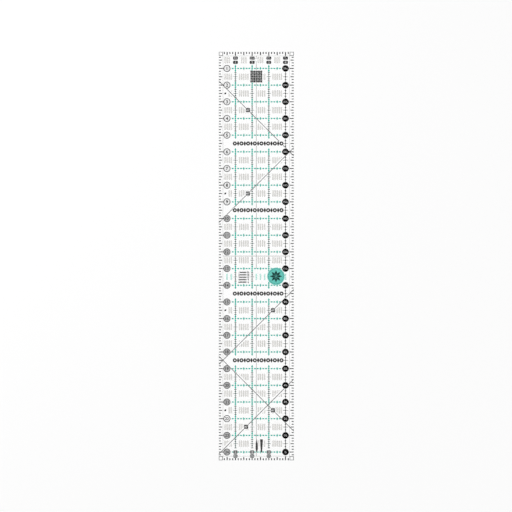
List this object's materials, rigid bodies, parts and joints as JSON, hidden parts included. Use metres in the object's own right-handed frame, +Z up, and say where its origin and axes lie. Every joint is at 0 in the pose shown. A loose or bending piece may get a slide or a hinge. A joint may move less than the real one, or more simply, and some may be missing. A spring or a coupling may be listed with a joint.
{
  "type": "quilting ruler",
  "caption": "Clear acrylic quilting ruler, printed and gripped on the underside, with inch scales along every edge, a dashed grid, slanting guide lines and a hanging hole.",
  "frame": {"origin": "centre of the ruler's outline, on the surface that it lies on", "axes": "+X across the ruler towards the half inch discs, +Y along it towards the end where the numbers start, +Z up out of the readable face"},
  "size_m": [0.1142, 0.6224, 0.0031],
  "materials": {
    "clear_acrylic": "polished clear acrylic sheet",
    "black_ink": "screen printed, matt",
    "charcoal_ink": "screen printed, matt",
    "grey_ink": "screen printed, matt",
    "pale_grey_ink": "screen printed, matt",
    "white_ink": "screen printed, matt",
    "teal_ink": "screen printed, matt",
    "dark_teal_ink": "screen printed, matt",
    "clear_grip": "frosted grip coating",
    "tinted_grip": "frosted grip coating, tinted",
    "band_grip": "frosted grip coating over grey print"
  },
  "bodies": {
    "root": {"acrylic_blank": "clear_acrylic", "left_edge_scale": "black_ink", "right_edge_scale": "black_ink", "top_edge_scale": "black_ink", "bottom_edge_scale": "black_ink", "corner_squares": "charcoal_ink", "seam_allowance_lines": "grey_ink", "lengthwise_grid_lines": "teal_ink", "crosswise_grid_lines": "teal_ink", "eighth_inch_ladders": "charcoal_ink", "half_inch_guide_line": "black_ink", "centre_lines": "grey_ink", "angle_lines_45": "charcoal_ink", "angle_labels": "charcoal_ink", "whole_inch_rings": "charcoal_ink", "one_digit_backing": "white_ink", "two_digit_backing": "pale_grey_ink", "whole_inch_numerals": "black_ink", "half_inch_discs": "black_ink", "half_inch_numerals": "white_ink", "top_half_labels": "charcoal_ink", "top_half_numerals": "white_ink", "top_whole_labels": "charcoal_ink", "top_whole_numerals": "white_ink", "bottom_half_labels": "grey_ink", "bottom_half_numerals": "white_ink", "bottom_whole_labels": "grey_ink", "bottom_whole_numerals": "white_ink", "grip_ribs": "clear_grip", "tinted_grip_ribs": "tinted_grip", "grip_band_rings": "band_grip", "grip_band_lozenges": "band_grip", "emblem_disc": "teal_ink", "emblem_star": "dark_teal_ink", "patchwork_square": "black_ink", "strip_table": "black_ink", "row_marks": "black_ink", "pointer_marks": "charcoal_ink"}
  },
  "joints": []
}
